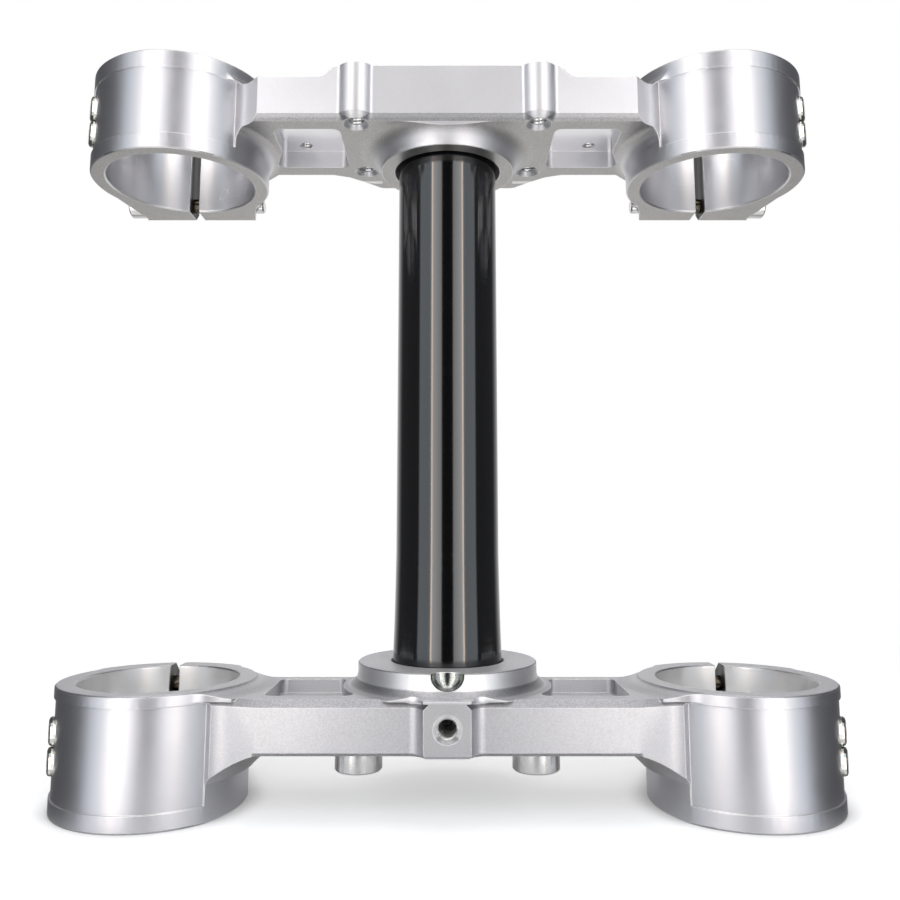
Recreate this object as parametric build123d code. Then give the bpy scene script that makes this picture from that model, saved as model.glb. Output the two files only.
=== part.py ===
from build123d import *
import math
import os

# Motorcycle triple clamp: an upper and a lower fork clamp joined by a steering stem.
# Millimetres. X runs across the forks, -Y is the front with the tapped boss, Z is up.
# The origin is on the stem axis, at the height of the lower rings' undersides.

# Overall layout
FORK_SPACING = 206.0        # distance between the two fork bores
FORK_OFFSET = 3.0           # fork bores stand this far in front of the stem axis
LOWER_RING_H = 41.6
UPPER_RING_Z = 226.5        # underside of the upper rings
UPPER_RING_H = 36.9

# Rings
BORE_R = 27.5               # fork bore, both clamps
LOWER_R = 34.2
UPPER_R = 33.0
BAND_DEPTH = 0.6            # shallow milled band around each ring
LOWER_LIP_TOP = 3.9
LOWER_LIP_BOTTOM = 5.5
UPPER_LIP_TOP = 6.3
UPPER_LIP_BOTTOM = 5.8
EDGE = 0.5                  # edge break on rings and bores

# Pinch lugs behind the rings, measured from the ring's centre
SLIT_X = 3.4                # slit stands this far outboard of the bore axis
SLIT_W = 3.7
LUG_BACK = 40.2
UPPER_LUG_FLAT = 37.0       # end faces of the lugs run this far back, then slope
LOWER_LUG_FLAT = 35.2
LOWER_LUG_FALL = 0.8        # slope of the lower lugs' end faces
LUG_SEAT = 25.6             # screw-head seat, outboard
PINCH_Y = 30.5
PINCH_TIP = 24.7            # screw tip, inboard
PINCH_EDGE = 4.8            # screw height from the ring's end faces
LOWER_PINCH_EDGE = 7.7

# Arms
FRONT = 31.7                # front face of both arms, from the stem axis
UPPER_BEVEL = 2.1
LOWER_BEVEL = 2.3
UNDER_BEVEL = 1.2           # lower edge of the lower arm
UPPER_VALLEY_R = 7.0        # rounded valleys between ring and arm at the front
LOWER_VALLEY_R = 14.0
UPPER_ARM_Z = 239.3
UPPER_ARM_H = 16.0
CENTRE_H = 20.2             # raised middle of the upper clamp
LOWER_ARM_Z = 21.8
LOWER_ARM_H = 17.5
UPPER_REAR = 16.4
LOWER_REAR = 12.4
UNDER_COVE = 5.0            # cove between the upper rings and the arm's underside
OVER_COVE = 5.0
LOWER_COVE = 7.5            # reach of the shallow cove around the lower rings' tops
GUSSET_Z = 12.2             # height at which the lower arm starts to grow out of its rings
GUSSET_REACH = 14.8
LOWER_THIN = 2.4            # inner side of the lower rings, below the arm
HUB_R = 37.2                # round middle of the lower arm
LUG_REAR = 30.0             # stem pinch lug of the upper clamp

# Handlebar mount holes and bosses
BAR_X = 33.0
BAR_FRONT_Y = -27.2
BAR_REAR_Y = 13.4
BAR_HOLE_R = 3.4
BAR_MOUTH = 1.35            # chamfer of the holes' lower mouths
BAR_BOSS_R = 7.2
BAR_BOSS_FILLET = 2.2

# Pockets
POCKET_DEPTH = 7.0
LOWER_POCKET_DEPTH = 5.0
POCKET_X = 39.5
POCKET_FRONT = 23.6
POCKET_REAR = 9.2
LOWER_POCKET_REAR = 8.0
POCKET_END = 64.0           # ring side of the upper pockets
POCKET_BEND = 4.7           # behind this line the ring side leans outboard
POCKET_LEAN = 0.35
LOWER_POCKET_END = 61.5
POCKET_R = 3.2
POCKET_HOLE = (56.5, 4.4)
POCKET_HOLE_R = 2.5

# Stem
STEM_R = 18.8
STEM_SEAT_R = 19.6
STEM_TOP_R = 15.0
STEM_THREAD_R = 14.0
STEM_BORE_R = 11.0
STEM_SHOULDER_Z = 239.6
WASHER_R = 20.5
WASHER_H = 2.0
NUT_FLAT = 16.0             # half of the width across flats
NUT_H = 6.0

# Collars around the stem
UPPER_COLLAR_R = 25.85
UPPER_COLLAR_Z = 232.5
UPPER_COLLAR_REACH = 8.5    # cove under the arm
UPPER_COLLAR_RISE = 5.5
UPPER_RECESS_R = 20.5
LOWER_COLLAR_R = 32.1
LOWER_COLLAR_Z = 47.6
LOWER_COLLAR_COVE = 5.0
LOWER_RECESS_R = 20.4
RECESS_DEPTH = 6.5

# Front boss of the lower clamp
BOSS_HALF = 7.7
BOSS_OUT = 3.6
BOSS_ROUND = 5.1            # concave flanks
BOSS_HOLE_Z = 31.0
BOSS_HOLE_R = 3.4

# Screws
PINCH_R = 3.0
PINCH_HEAD_R = 5.0
PINCH_HEAD_H = 6.3
SIDE_HEAD_R = 4.8
SIDE_PITCH = 9.8
SIDE_ANGLE = 27.0           # side screws, turned forward from the outboard direction
SIDE_SEAT = 2.4
SIDE_OUT = 1.0
STOP_X = 29.6
STOP_Y = -20.5
STOP_R = 5.0
STOP_HEAD_R = 7.9
STOP_HEAD_H = 6.6
STEM_PINCH_Y = 24.0
STEM_PINCH_Z = 246.9
STEM_PINCH_SEAT = 27.4
STEM_PINCH_R = 4.0
STEM_PINCH_HEAD_R = 6.5
STEM_PINCH_HEAD_H = 8.0
STEM_PINCH_NUT = 6.5        # thickness, and half of the width across flats

RING_X = FORK_SPACING / 2
RING_Y = -FORK_OFFSET
SLIT_FAR = 60.0


def disc(radius, z0, z1, x=0.0, y=0.0):
    """Upright cylinder between two heights."""
    return Pos(x, y, (z0 + z1) / 2) * Cylinder(radius, z1 - z0)


def block(x0, x1, y0, y1, z0, z1):
    """Box between two corners."""
    middle = Pos((x0 + x1) / 2, (y0 + y1) / 2, (z0 + z1) / 2)
    return middle * Box(x1 - x0, y1 - y0, z1 - z0)


def along_x(radius, x0, x1, y, z):
    """Cylinder lying along X."""
    length = x1 - x0
    return Pos((x0 + x1) / 2, y, z) * (Rot(0, 90, 0) * Cylinder(radius, length))


def turned(points, x=0.0, y=0.0):
    """Solid turned about an upright axis from (radius, height) points."""
    wire = Polyline(*[(r, 0, z) for r, z in points], close=True)
    body = revolve(make_face(wire), axis=Axis.Z, revolution_arc=360)
    return Pos(x, y, 0) * body


def flat_shape(points):
    """Plan face inside straight lines."""
    return make_face(Polyline(*[(px, py, 0) for px, py in points], close=True))


def upright(face, z0, z1):
    """Plan face raised between two heights."""
    return Pos(0, 0, z0) * extrude(face, amount=z1 - z0)


def both(body):
    """The body and its mirror image across the middle plane."""
    return body + mirror(body, about=Plane.YZ)


def cove(r_wall, reach, rise, z_flat, up, x=0.0, y=0.0):
    """Round core whose wall flows into a flat by an arc, tangent to the flat."""
    side = 1 if up else -1
    radius = (reach ** 2 + rise ** 2) / (2 * rise)
    half = math.asin(min(1.0, reach / radius)) / 2
    foot = (r_wall + reach, 0, z_flat)
    middle = (r_wall + reach - radius * math.sin(half), 0,
              z_flat + side * radius * (1 - math.cos(half)))
    head = (r_wall, 0, z_flat + side * rise)
    rest = Polyline(head, (0, 0, z_flat + side * rise), (0, 0, z_flat - side),
                    (r_wall + reach, 0, z_flat - side), foot)
    profile = make_face((ThreePointArc(foot, middle, head) + rest).edges())
    return Pos(x, y, 0) * revolve(profile, axis=Axis.Z, revolution_arc=360)


def ring(radius, z0, height, lip_bottom, lip_top, band_from):
    """Left-hand ring body with its milled band, still without bore."""
    z1 = z0 + height
    profile = [(0, z0), (radius - EDGE, z0), (radius, z0 + EDGE), (radius, z1 - EDGE)]
    profile += [(radius - EDGE, z1), (0, z1)]
    body = turned(profile)
    outer = Circle(radius + 4)
    inner = Circle(radius - BAND_DEPTH)
    far = radius + 8
    sweep = [band_from - i * (166.0 / 8) for i in range(9)]
    fan = [(0, 0)]
    fan += [(far * math.cos(math.radians(a)), far * math.sin(math.radians(a))) for a in sweep]
    sector = flat_shape(fan)
    groove = extrude((outer - inner) & sector, amount=height - lip_bottom - lip_top)
    body -= Pos(0, 0, z0 + lip_bottom) * groove
    return Pos(-RING_X, RING_Y, 0) * body


def lug(z0, z1):
    """Left-hand pinch lug behind the ring."""
    cx = -RING_X
    points = [
        (cx - 30.5, RING_Y + 10.0),
        (cx - 26.9, RING_Y + 29.0),
        (cx - 25.9, RING_Y + LUG_BACK),
        (cx + 19.6, RING_Y + LUG_BACK),
        (cx + 22.2, RING_Y + 28.0),
        (cx + 28.4, RING_Y + 10.0),
        (cx, RING_Y),
    ]
    body = upright(flat_shape(points), z0, z1)
    back = body.edges().filter_by(Axis.Z).group_by(Axis.Y)[-1]
    return fillet(back, 1.0)


def upper_lug(z0, z1):
    """Upper lug, its rear edges bevelled straight across."""
    bevel = LUG_BACK - UPPER_LUG_FLAT
    back = RING_Y + LUG_BACK
    flat = back - bevel
    x = -RING_X - 40
    side = Polyline((x, RING_Y, z0), (x, flat, z0), (x, back, z0 + bevel), (x, back, z1 - bevel),
                    (x, flat, z1), (x, RING_Y, z1), close=True)
    return lug(z0, z1) & extrude(make_face(side), amount=80, dir=(1, 0, 0))


def lower_lug(z0, z1):
    """Lower lug, its end faces turned down to a cone behind the ring."""
    reach = LUG_BACK - LOWER_LUG_FLAT + 10
    far = LOWER_LUG_FLAT + reach
    drop = reach * LOWER_LUG_FALL
    profile = [(0, z0), (LOWER_LUG_FLAT, z0), (far, z0 + drop), (far, z1 - drop)]
    profile += [(LOWER_LUG_FLAT, z1), (0, z1)]
    return lug(z0, z1) & turned(profile, -RING_X, RING_Y)


def slit(z0, z1):
    """Left-hand slit."""
    x = -RING_X - SLIT_X
    return block(x - SLIT_W / 2, x + SLIT_W / 2, RING_Y + 20, SLIT_FAR, z0 - 1, z1 + 1)


def fork_bore(z0, z1):
    """Left-hand fork bore with small edge breaks."""
    c = EDGE
    profile = [(0, z0 - 1), (BORE_R + c + 1, z0 - 1), (BORE_R, z0 + c), (BORE_R, z1 - c)]
    profile += [(BORE_R + c + 1, z1 + 1), (0, z1 + 1)]
    return turned(profile, -RING_X, RING_Y)


def pinch_cut(z):
    """Left-hand hole and head seat for one pinch screw."""
    cx = -RING_X
    y = PINCH_Y
    hole = along_x(PINCH_R, cx - 40, cx + 40, y, z)
    seat = along_x(PINCH_HEAD_R + 0.6, cx - 40, cx - LUG_SEAT, y, z)
    return hole + seat


def side_cut(radius, z):
    """Left-hand spotface and blind hole for one side screw."""
    seat = along_x(SIDE_HEAD_R + 0.3, -radius - 5, -radius + SIDE_SEAT, 0, z)
    hole = along_x(1.8, -radius, -radius + SIDE_SEAT + 1.6, 0, z)
    return Pos(-RING_X, RING_Y, 0) * (Rot(0, 0, SIDE_ANGLE) * (seat + hole))


def tapped(radius, z0, z1, x, y, low, high):
    """Upright tapped hole between two heights; low and high are its mouths' chamfers."""
    profile = [(0, z0 - 1), (radius + low + 1, z0 - 1), (radius, z0 + low), (radius, z1 - high)]
    profile += [(radius + high + 1, z1 + 1), (0, z1 + 1)]
    return turned(profile, x, y)


def upper_plan():
    """Plan outline of the upper arm, left half."""
    return [
        (0, -FRONT),
        (-68.0, -FRONT),
        (-80.0, RING_Y - 15.6),
        (-84.0, RING_Y - 10.0),
        (-84.0, RING_Y + 16.0),
        (-80.5, 27.0),
        (-74.5, 21.8),
        (-69.5, UPPER_REAR),
        (-47.0, UPPER_REAR),
        (-40.5, 18.9),
        (-34.6, 23.6),
        (-28.6, LUG_REAR - 0.6),
        (-26.4, LUG_REAR),
        (0, LUG_REAR),
    ]


def arm_shape(half_outline, ring_r, valley_r):
    """Whole plan face of an arm and its two ring discs, valleys rounded at the front."""
    face = flat_shape(half_outline + [(-px, py) for px, py in reversed(half_outline) if px != 0])
    for side in (-1, 1):
        face += Pos(side * RING_X, RING_Y) * Circle(ring_r)
    corners = []
    for v in face.vertices():
        off_ring = abs(math.hypot(abs(v.X) - RING_X, v.Y - RING_Y) - ring_r)
        if off_ring < 0.01 and v.Y < RING_Y and abs(v.X) < RING_X:
            corners.append(v)
    return fillet(corners, valley_r)


def front_edges(body, z, depth=-RING_Y + 15):
    """Edges of one flat face that lie along the front, between the rings."""
    found = []
    for edge in body.edges():
        box = edge.bounding_box()
        flat = abs(box.min.Z - z) < 0.01 and abs(box.max.Z - z) < 0.01
        middle = edge @ 0.5
        if flat and box.max.Y < -depth and abs(middle.X) < RING_X - 15:
            found.append(edge)
    return found


def upper_arm():
    """Upper arm with bosses, raised middle and front bevel."""
    z0 = UPPER_ARM_Z
    z1 = z0 + UPPER_ARM_H
    z2 = z0 + CENTRE_H
    plate = upright(arm_shape(upper_plan(), UPPER_R, UPPER_VALLEY_R), z0, z2)
    for side in (-1, 1):
        plate += disc(BAR_BOSS_R, z0, z2, side * BAR_X, BAR_FRONT_Y)
    corners = []
    for edge in plate.edges().filter_by(Axis.Z):
        c = edge.center()
        if abs(c.Y + FRONT) < 0.05 and abs(abs(c.X) - BAR_X) < BAR_BOSS_R:
            corners.append(edge)
    plate = fillet(corners, BAR_BOSS_FILLET)
    plate = chamfer(front_edges(plate, z0, FRONT - 1.5), UPPER_BEVEL)
    drop = z2 - z1
    lower = []
    lower += [(-150.0, z1), (-46.2, z1)]
    for i in range(1, 6):
        t = i / 5
        rise = (1 - math.cos(math.pi * t)) / 2
        lower.append((-46.2 + 7.0 * t, z1 + drop * rise))
    lower += [(-39.2, z2 + 3), (-150.0, z2 + 3)]
    face = make_face(Polyline(*[(px, 0, pz) for px, pz in lower], close=True))
    scoop = Pos(0, 60, 0) * extrude(face, amount=120, dir=(0, -1, 0))
    return plate - both(scoop)


def upper_clamp():
    """Upper clamp, machined from one billet."""
    z0 = UPPER_RING_Z
    z1 = z0 + UPPER_RING_H
    arm_top = UPPER_ARM_Z + UPPER_ARM_H
    body = upper_arm()
    plan = upright(arm_shape(upper_plan(), UPPER_R, UPPER_VALLEY_R), z0, z1)
    # Coves where the ring wall meets the arm, below and above
    under = cove(UPPER_R, UNDER_COVE, UNDER_COVE, UPPER_ARM_Z, False, -RING_X, RING_Y)
    over = cove(UPPER_R, OVER_COVE, OVER_COVE, arm_top, True, -RING_X, RING_Y)
    left = ring(UPPER_R, z0, UPPER_RING_H, UPPER_LIP_BOTTOM, UPPER_LIP_TOP, -39.0)
    left += upper_lug(z0, z1)
    left += (under + over) & plan & block(-RING_X, 0, -60, 60, z0, z1)
    body += both(left)
    # Collar around the stem, under the arm
    collar = disc(UPPER_COLLAR_R, UPPER_COLLAR_Z, UPPER_ARM_Z + 1)
    collar = chamfer(collar.edges().group_by(Axis.Z)[0], 0.3)
    collar += cove(UPPER_COLLAR_R, UPPER_COLLAR_REACH, UPPER_COLLAR_RISE, UPPER_ARM_Z, False)
    keep = block(-60, 60, -FRONT + UPPER_BEVEL, LUG_REAR, UPPER_COLLAR_Z - 2, UPPER_ARM_Z + 3)
    body += collar & keep & plan
    # Cuts
    top = UPPER_ARM_Z + CENTRE_H
    body -= disc(UPPER_RECESS_R, UPPER_COLLAR_Z - 1, STEM_SHOULDER_Z)
    body -= disc(STEM_TOP_R, UPPER_COLLAR_Z, top + 1)
    body -= block(-1.5, 1.5, 8, LUG_REAR + 5, UPPER_COLLAR_Z - 1, top + 1)
    cuts = fork_bore(z0, z1) + slit(z0, z1)
    for z in (z0 + PINCH_EDGE, z1 - PINCH_EDGE):
        cuts += pinch_cut(z)
    for dz in (-SIDE_PITCH / 2, SIDE_PITCH / 2):
        cuts += side_cut(UPPER_R, (z0 + z1) / 2 + dz)
    for y in (BAR_FRONT_Y, BAR_REAR_Y):
        cuts += tapped(BAR_HOLE_R, UPPER_ARM_Z, top, -BAR_X, y, BAR_MOUTH, 0.6)
    cuts += upright(upper_pocket(), UPPER_ARM_Z - 1, UPPER_ARM_Z + POCKET_DEPTH)
    hx, hy = POCKET_HOLE
    cuts += disc(POCKET_HOLE_R, UPPER_ARM_Z, arm_top + 1, -hx, hy)
    cuts += along_x(STEM_PINCH_HEAD_R + 1.1, -60, -STEM_PINCH_SEAT, STEM_PINCH_Y, STEM_PINCH_Z)
    body -= both(cuts)
    body -= along_x(STEM_PINCH_R, -40, 40, STEM_PINCH_Y, STEM_PINCH_Z)
    return body


def upper_pocket():
    """Outline of the left-hand milled pocket under the upper arm."""
    rear_end = POCKET_END + (POCKET_REAR + POCKET_BEND) * POCKET_LEAN
    points = [(-POCKET_X, -POCKET_FRONT), (-POCKET_END, -POCKET_FRONT), (-POCKET_END, -POCKET_BEND),
              (-rear_end, POCKET_REAR), (-POCKET_X, POCKET_REAR)]
    outline = flat_shape(points)
    return fillet(outline.vertices(), POCKET_R)


def lower_pocket():
    """Outline of the left-hand milled pocket on the lower arm, curved round the collar."""
    depth = LOWER_POCKET_REAR + POCKET_FRONT
    middle = (LOWER_POCKET_REAR - POCKET_FRONT) / 2
    outline = Pos(-LOWER_POCKET_END / 2 - 10, middle) * Rectangle(LOWER_POCKET_END - 20, depth)
    outline -= Circle(LOWER_COLLAR_R + LOWER_COLLAR_COVE + 0.2)
    return fillet(outline.vertices(), POCKET_R)


def lower_plan():
    """Plan outline of the lower arm, left half."""
    return [
        (0, -FRONT),
        (-61.6, -FRONT),
        (-88.0, RING_Y - 21.8),
        (-88.0, RING_Y + 16.0),
        (-80.5, 25.5),
        (-76.0, 20.0),
        (-69.5, LOWER_REAR + 1.5),
        (-66.0, LOWER_REAR),
        (0, LOWER_REAR),
    ]


def lower_outline(z0, z1):
    """Lower arm with its hub and front boss, square-edged."""
    plate = upright(arm_shape(lower_plan(), LOWER_R, LOWER_VALLEY_R), z0, z1)
    out = -FRONT - BOSS_OUT
    wide = BOSS_HALF + math.sqrt(BOSS_ROUND ** 2 - (BOSS_ROUND - BOSS_OUT) ** 2)
    boss = block(-wide, wide, out, -20, z0, z1)
    for side in (-1, 1):
        boss -= disc(BOSS_ROUND, z0 - 1, z1 + 1, side * wide, -FRONT - BOSS_ROUND)
    return plate + boss + (disc(HUB_R, z0, z1) & block(-50, 50, -20, 50, z0, z1))


def lower_arm():
    """Lower arm with its bevels; the face of the boss stays square."""
    z0 = LOWER_ARM_Z
    z1 = z0 + LOWER_ARM_H
    plate = lower_outline(z0, z1)
    boss_face = -FRONT - BOSS_OUT + 0.1
    top = [e for e in front_edges(plate, z1) if (e @ 0.5).Y > boss_face]
    plate = chamfer(top, LOWER_BEVEL)
    return chamfer(front_edges(plate, z0), UNDER_BEVEL)


def gusset():
    """Turned growth of the lower arm out of its ring."""
    rise = LOWER_ARM_Z - GUSSET_Z
    low = (LOWER_R, 0, GUSSET_Z)
    middle = (LOWER_R + 0.43 * GUSSET_REACH, 0, GUSSET_Z + 0.57 * rise)
    high = (LOWER_R + GUSSET_REACH, 0, LOWER_ARM_Z)
    rest = Polyline(high, (LOWER_R + GUSSET_REACH, 0, LOWER_ARM_Z + 3), (0, 0, LOWER_ARM_Z + 3),
                    (0, 0, GUSSET_Z), low)
    profile = make_face((ThreePointArc(low, middle, high) + rest).edges())
    return Pos(-RING_X, RING_Y, 0) * revolve(profile, axis=Axis.Z, revolution_arc=360)


def lower_ring():
    """Lower ring; its inner side is slimmer below the arm."""
    body = ring(LOWER_R, 0, LOWER_RING_H, LOWER_LIP_BOTTOM, LOWER_LIP_TOP, -45.0)
    shift = 7.55
    slim = disc(60, -1, GUSSET_Z)
    slim -= disc(LOWER_R + shift, -2, GUSSET_Z + 1, -shift - LOWER_THIN, 0)
    slim &= block(-9, 60, -60, 60, -1, GUSSET_Z)
    return body - Pos(-RING_X, RING_Y, 0) * slim


def lower_clamp():
    """Lower clamp, machined from one billet."""
    z1 = LOWER_RING_H
    arm_top = LOWER_ARM_Z + LOWER_ARM_H
    body = lower_arm()
    plan = upright(arm_shape(lower_plan(), LOWER_R, LOWER_VALLEY_R), 0, z1)
    plan &= block(-RING_X, 0, -60, 60, 0, z1)
    over = cove(LOWER_R, LOWER_COVE, z1 - EDGE - arm_top, arm_top, True, -RING_X, RING_Y)
    left = lower_ring()
    left += lower_lug(0, z1)
    left += (gusset() + over) & plan
    body += both(left)
    # Stem collar on top of the arm
    collar = disc(LOWER_COLLAR_R, arm_top - 1, LOWER_COLLAR_Z)
    collar = chamfer(collar.edges().group_by(Axis.Z)[-1], 0.4)
    collar += cove(LOWER_COLLAR_R, LOWER_COLLAR_COVE, LOWER_COLLAR_COVE, arm_top, True)
    body += collar & lower_outline(arm_top - 0.5, LOWER_COLLAR_Z + 1)
    # Cuts
    body -= disc(LOWER_RECESS_R, LOWER_COLLAR_Z - RECESS_DEPTH, LOWER_COLLAR_Z + 1)
    body -= disc(STEM_SEAT_R, LOWER_ARM_Z - 1, LOWER_COLLAR_Z)
    cuts = fork_bore(0, z1) + slit(0, z1)
    for z in (LOWER_PINCH_EDGE, z1 - LOWER_PINCH_EDGE):
        cuts += pinch_cut(z)
    for dz in (-SIDE_PITCH / 2, SIDE_PITCH / 2):
        cuts += side_cut(LOWER_R, z1 / 2 + 1.2 + dz)
    cuts += upright(lower_pocket(), arm_top - LOWER_POCKET_DEPTH, arm_top + 3)
    cuts += disc(STOP_R, LOWER_ARM_Z - 1, LOWER_ARM_Z + 8.4, -STOP_X, STOP_Y)
    body -= both(cuts)
    body -= front_hole()
    body -= collar_hole()
    return body


def front_hole():
    """Blind tapped hole in the front boss, with mouth chamfer and drill point."""
    r = BOSS_HOLE_R
    points = [(0, 1), (r + 2.3, 1), (r, -1.3), (r, -15.0), (0, -17.0)]
    hole = turned(points)
    return Pos(0, -FRONT - BOSS_OUT, BOSS_HOLE_Z) * (Rot(90, 0, 0) * hole)


def collar_hole():
    """Leaning blind hole with a wide mouth that breaks the collar's front top edge."""
    points = [(0, 6), (6.3 + 6.0, 6), (6.3, 0), (4.9, -1.2), (4.9, -3.2), (1.6, -4.6), (0, -4.6)]
    hole = turned(points)
    return Pos(0, -LOWER_COLLAR_R + 5.4, LOWER_COLLAR_Z - 2.6) * (Rot(28, 0, 0) * hole)


def steering_stem():
    """Hollow stem with a seat at the foot and a stepped, threaded top."""
    top = UPPER_ARM_Z + CENTRE_H
    points = [
        (STEM_BORE_R, LOWER_ARM_Z), (STEM_SEAT_R - 0.6, LOWER_ARM_Z),
        (STEM_SEAT_R, LOWER_ARM_Z + 0.6), (STEM_SEAT_R, 52.0), (STEM_SEAT_R - 0.35, 62.0),
        (STEM_R + 0.1, 80.0), (STEM_R, 86.0), (STEM_R, STEM_SHOULDER_Z),
        (STEM_TOP_R, STEM_SHOULDER_Z), (STEM_TOP_R, top - 0.6), (STEM_THREAD_R, top - 0.6),
        (STEM_THREAD_R, top + 8.2), (STEM_THREAD_R - 0.8, top + 9.0), (STEM_BORE_R, top + 9.0),
    ]
    return turned(points)


def stem_washer():
    """Flat washer under the stem nut."""
    z = UPPER_ARM_Z + CENTRE_H
    return disc(WASHER_R, z, z + WASHER_H) - disc(STEM_THREAD_R, z - 1, z + WASHER_H + 1)


def stem_nut():
    """Low hexagon nut on the stem's thread."""
    z = UPPER_ARM_Z + CENTRE_H + WASHER_H
    nut = Pos(0, 0, z) * extrude(RegularPolygon(NUT_FLAT, 6, major_radius=False), amount=NUT_H)
    corner = NUT_FLAT + 3.5
    top = z + NUT_H
    nut &= turned([(0, z - 1), (corner, z - 1), (corner, top - 1), (NUT_FLAT + 0.4, top), (0, top)])
    return nut - disc(STEM_THREAD_R, z - 1, top + 1)


def cap_screw(shank_r, length, head_r, head_h, socket, tip=0.5):
    """Socket cap screw, head up, seat at z = 0, shank below."""
    c = min(0.5, head_h * 0.1)
    points = [(0, head_h), (head_r - c, head_h), (head_r, head_h - c), (head_r, 0),
              (shank_r, 0), (shank_r, -length + tip), (shank_r - tip, -length), (0, -length)]
    body = turned(points)
    key = extrude(RegularPolygon(socket / 2, 6, major_radius=False), amount=head_h)
    return body - Pos(0, 0, head_h * 0.45) * key


def pinch_screw(side, z):
    """Pinch screw lying across a rear lug, head outboard."""
    length = LUG_SEAT + PINCH_TIP
    screw = cap_screw(PINCH_R, length, PINCH_HEAD_R, PINCH_HEAD_H, 5.0)
    turn = Rot(0, -90, 0) if side < 0 else Rot(0, 90, 0)
    return Pos(side * (RING_X + LUG_SEAT), PINCH_Y, z) * (turn * screw)


def side_screw(side, radius, z):
    """Small round-headed screw on the outer side of a ring."""
    h = SIDE_SEAT + SIDE_OUT
    r = SIDE_HEAD_R
    points = [(0, h), (r - 1.2, h), (r - 0.35, h - 0.35), (r, h - 1.1), (r, 0), (1.8, 0),
              (1.8, -1.5), (0, -1.5)]
    body = turned(points)
    key = extrude(RegularPolygon(1.5, 6, major_radius=False), amount=h)
    body -= Pos(0, 0, h - 1.7) * key
    placed = Pos(-radius + SIDE_SEAT, 0, z) * (Rot(0, -90, 0) * body)
    placed = Pos(-RING_X, RING_Y, 0) * (Rot(0, 0, SIDE_ANGLE) * placed)
    return placed if side < 0 else mirror(placed, about=Plane.YZ)


def stop_bolt(side):
    """Large cap screw hanging under the lower arm."""
    screw = cap_screw(STOP_R, 8.2, STOP_HEAD_R, STOP_HEAD_H, 8.0)
    return Pos(side * STOP_X, STOP_Y, LOWER_ARM_Z) * (Rot(180, 0, 0) * screw)


def stem_pinch_bolt():
    """Screw through the rear lug, head on the left."""
    length = 2 * STEM_PINCH_SEAT + STEM_PINCH_NUT + 1.1
    screw = cap_screw(STEM_PINCH_R, length, STEM_PINCH_HEAD_R, STEM_PINCH_HEAD_H, 6.0)
    return Pos(-STEM_PINCH_SEAT, STEM_PINCH_Y, STEM_PINCH_Z) * (Rot(0, -90, 0) * screw)


def stem_pinch_nut():
    """Hexagon nut of the rear lug's screw."""
    flats = extrude(RegularPolygon(STEM_PINCH_NUT, 6, major_radius=False), amount=STEM_PINCH_NUT)
    nut = flats - Cylinder(STEM_PINCH_R, 4 * STEM_PINCH_NUT)
    return Pos(STEM_PINCH_SEAT, STEM_PINCH_Y, STEM_PINCH_Z) * (Rot(0, 90, 0) * nut)


def build():
    """All pieces by name."""
    upper_top = UPPER_RING_Z + UPPER_RING_H
    pieces = {
        "upper_clamp": upper_clamp(),
        "lower_clamp": lower_clamp(),
        "steering_stem": steering_stem(),
        "stem_washer": stem_washer(),
        "stem_nut": stem_nut(),
        "stem_pinch_bolt": stem_pinch_bolt(),
        "stem_pinch_nut": stem_pinch_nut(),
    }
    rings = {
        "upper": (UPPER_R, (UPPER_RING_Z + upper_top) / 2,
                  UPPER_RING_Z + PINCH_EDGE, upper_top - PINCH_EDGE),
        "lower": (LOWER_R, LOWER_RING_H / 2 + 1.2,
                  LOWER_PINCH_EDGE, LOWER_RING_H - LOWER_PINCH_EDGE),
    }
    for side, hand in ((-1, "left"), (1, "right")):
        pieces["stop_bolt_" + hand] = stop_bolt(side)
        for level, (radius, middle, low, high) in rings.items():
            name = level + "_" + hand
            pieces["pinch_screw_" + name + "_low"] = pinch_screw(side, low)
            pieces["pinch_screw_" + name + "_high"] = pinch_screw(side, high)
            half = SIDE_PITCH / 2
            pieces["side_screw_" + name + "_low"] = side_screw(side, radius, middle - half)
            pieces["side_screw_" + name + "_high"] = side_screw(side, radius, middle + half)
    return pieces


def main():
    """Write one STEP file per piece."""
    os.makedirs("parts", exist_ok=True)
    for name, body in build().items():
        solids = body.solids()
        shape = solids[0] if len(solids) == 1 else Compound(solids)
        export_step(shape, os.path.join("parts", name + ".step"))
        box = shape.bounding_box()
        print(name, len(solids), round(shape.volume), tuple(box.min), tuple(box.max))


main()
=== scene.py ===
"""Looks of a motorcycle's triple clamp: finishes, milled bands, cut threads, studio and camera."""
import math

import bmesh
import bpy
from mathutils import Matrix, Vector


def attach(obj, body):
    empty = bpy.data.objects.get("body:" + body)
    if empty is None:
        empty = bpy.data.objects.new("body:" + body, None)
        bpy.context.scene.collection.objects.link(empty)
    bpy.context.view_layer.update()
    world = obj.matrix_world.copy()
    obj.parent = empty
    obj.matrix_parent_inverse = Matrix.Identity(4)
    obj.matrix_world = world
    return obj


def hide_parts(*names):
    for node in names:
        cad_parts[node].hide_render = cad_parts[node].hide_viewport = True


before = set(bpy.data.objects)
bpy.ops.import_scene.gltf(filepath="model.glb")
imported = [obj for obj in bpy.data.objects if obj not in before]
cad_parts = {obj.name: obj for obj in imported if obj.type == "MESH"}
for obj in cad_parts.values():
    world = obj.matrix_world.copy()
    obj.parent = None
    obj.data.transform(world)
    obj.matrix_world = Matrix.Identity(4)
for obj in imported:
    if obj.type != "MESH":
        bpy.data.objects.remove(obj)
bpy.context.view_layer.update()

# Metres, in the part's own frame: X across the forks, -Y the front, Z up from the undersides of
# the lower rings. A size that the part's source has too is the same there.
MM = 0.001
RING_X = 103.0 * MM             # fork axis, from the stem's
RING_Y = -3.0 * MM
SLIT_X = 106.4 * MM
SLIT_W = 3.7 * MM
MIDDLE_Z = 100.0 * MM           # a height between the two clamps

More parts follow.
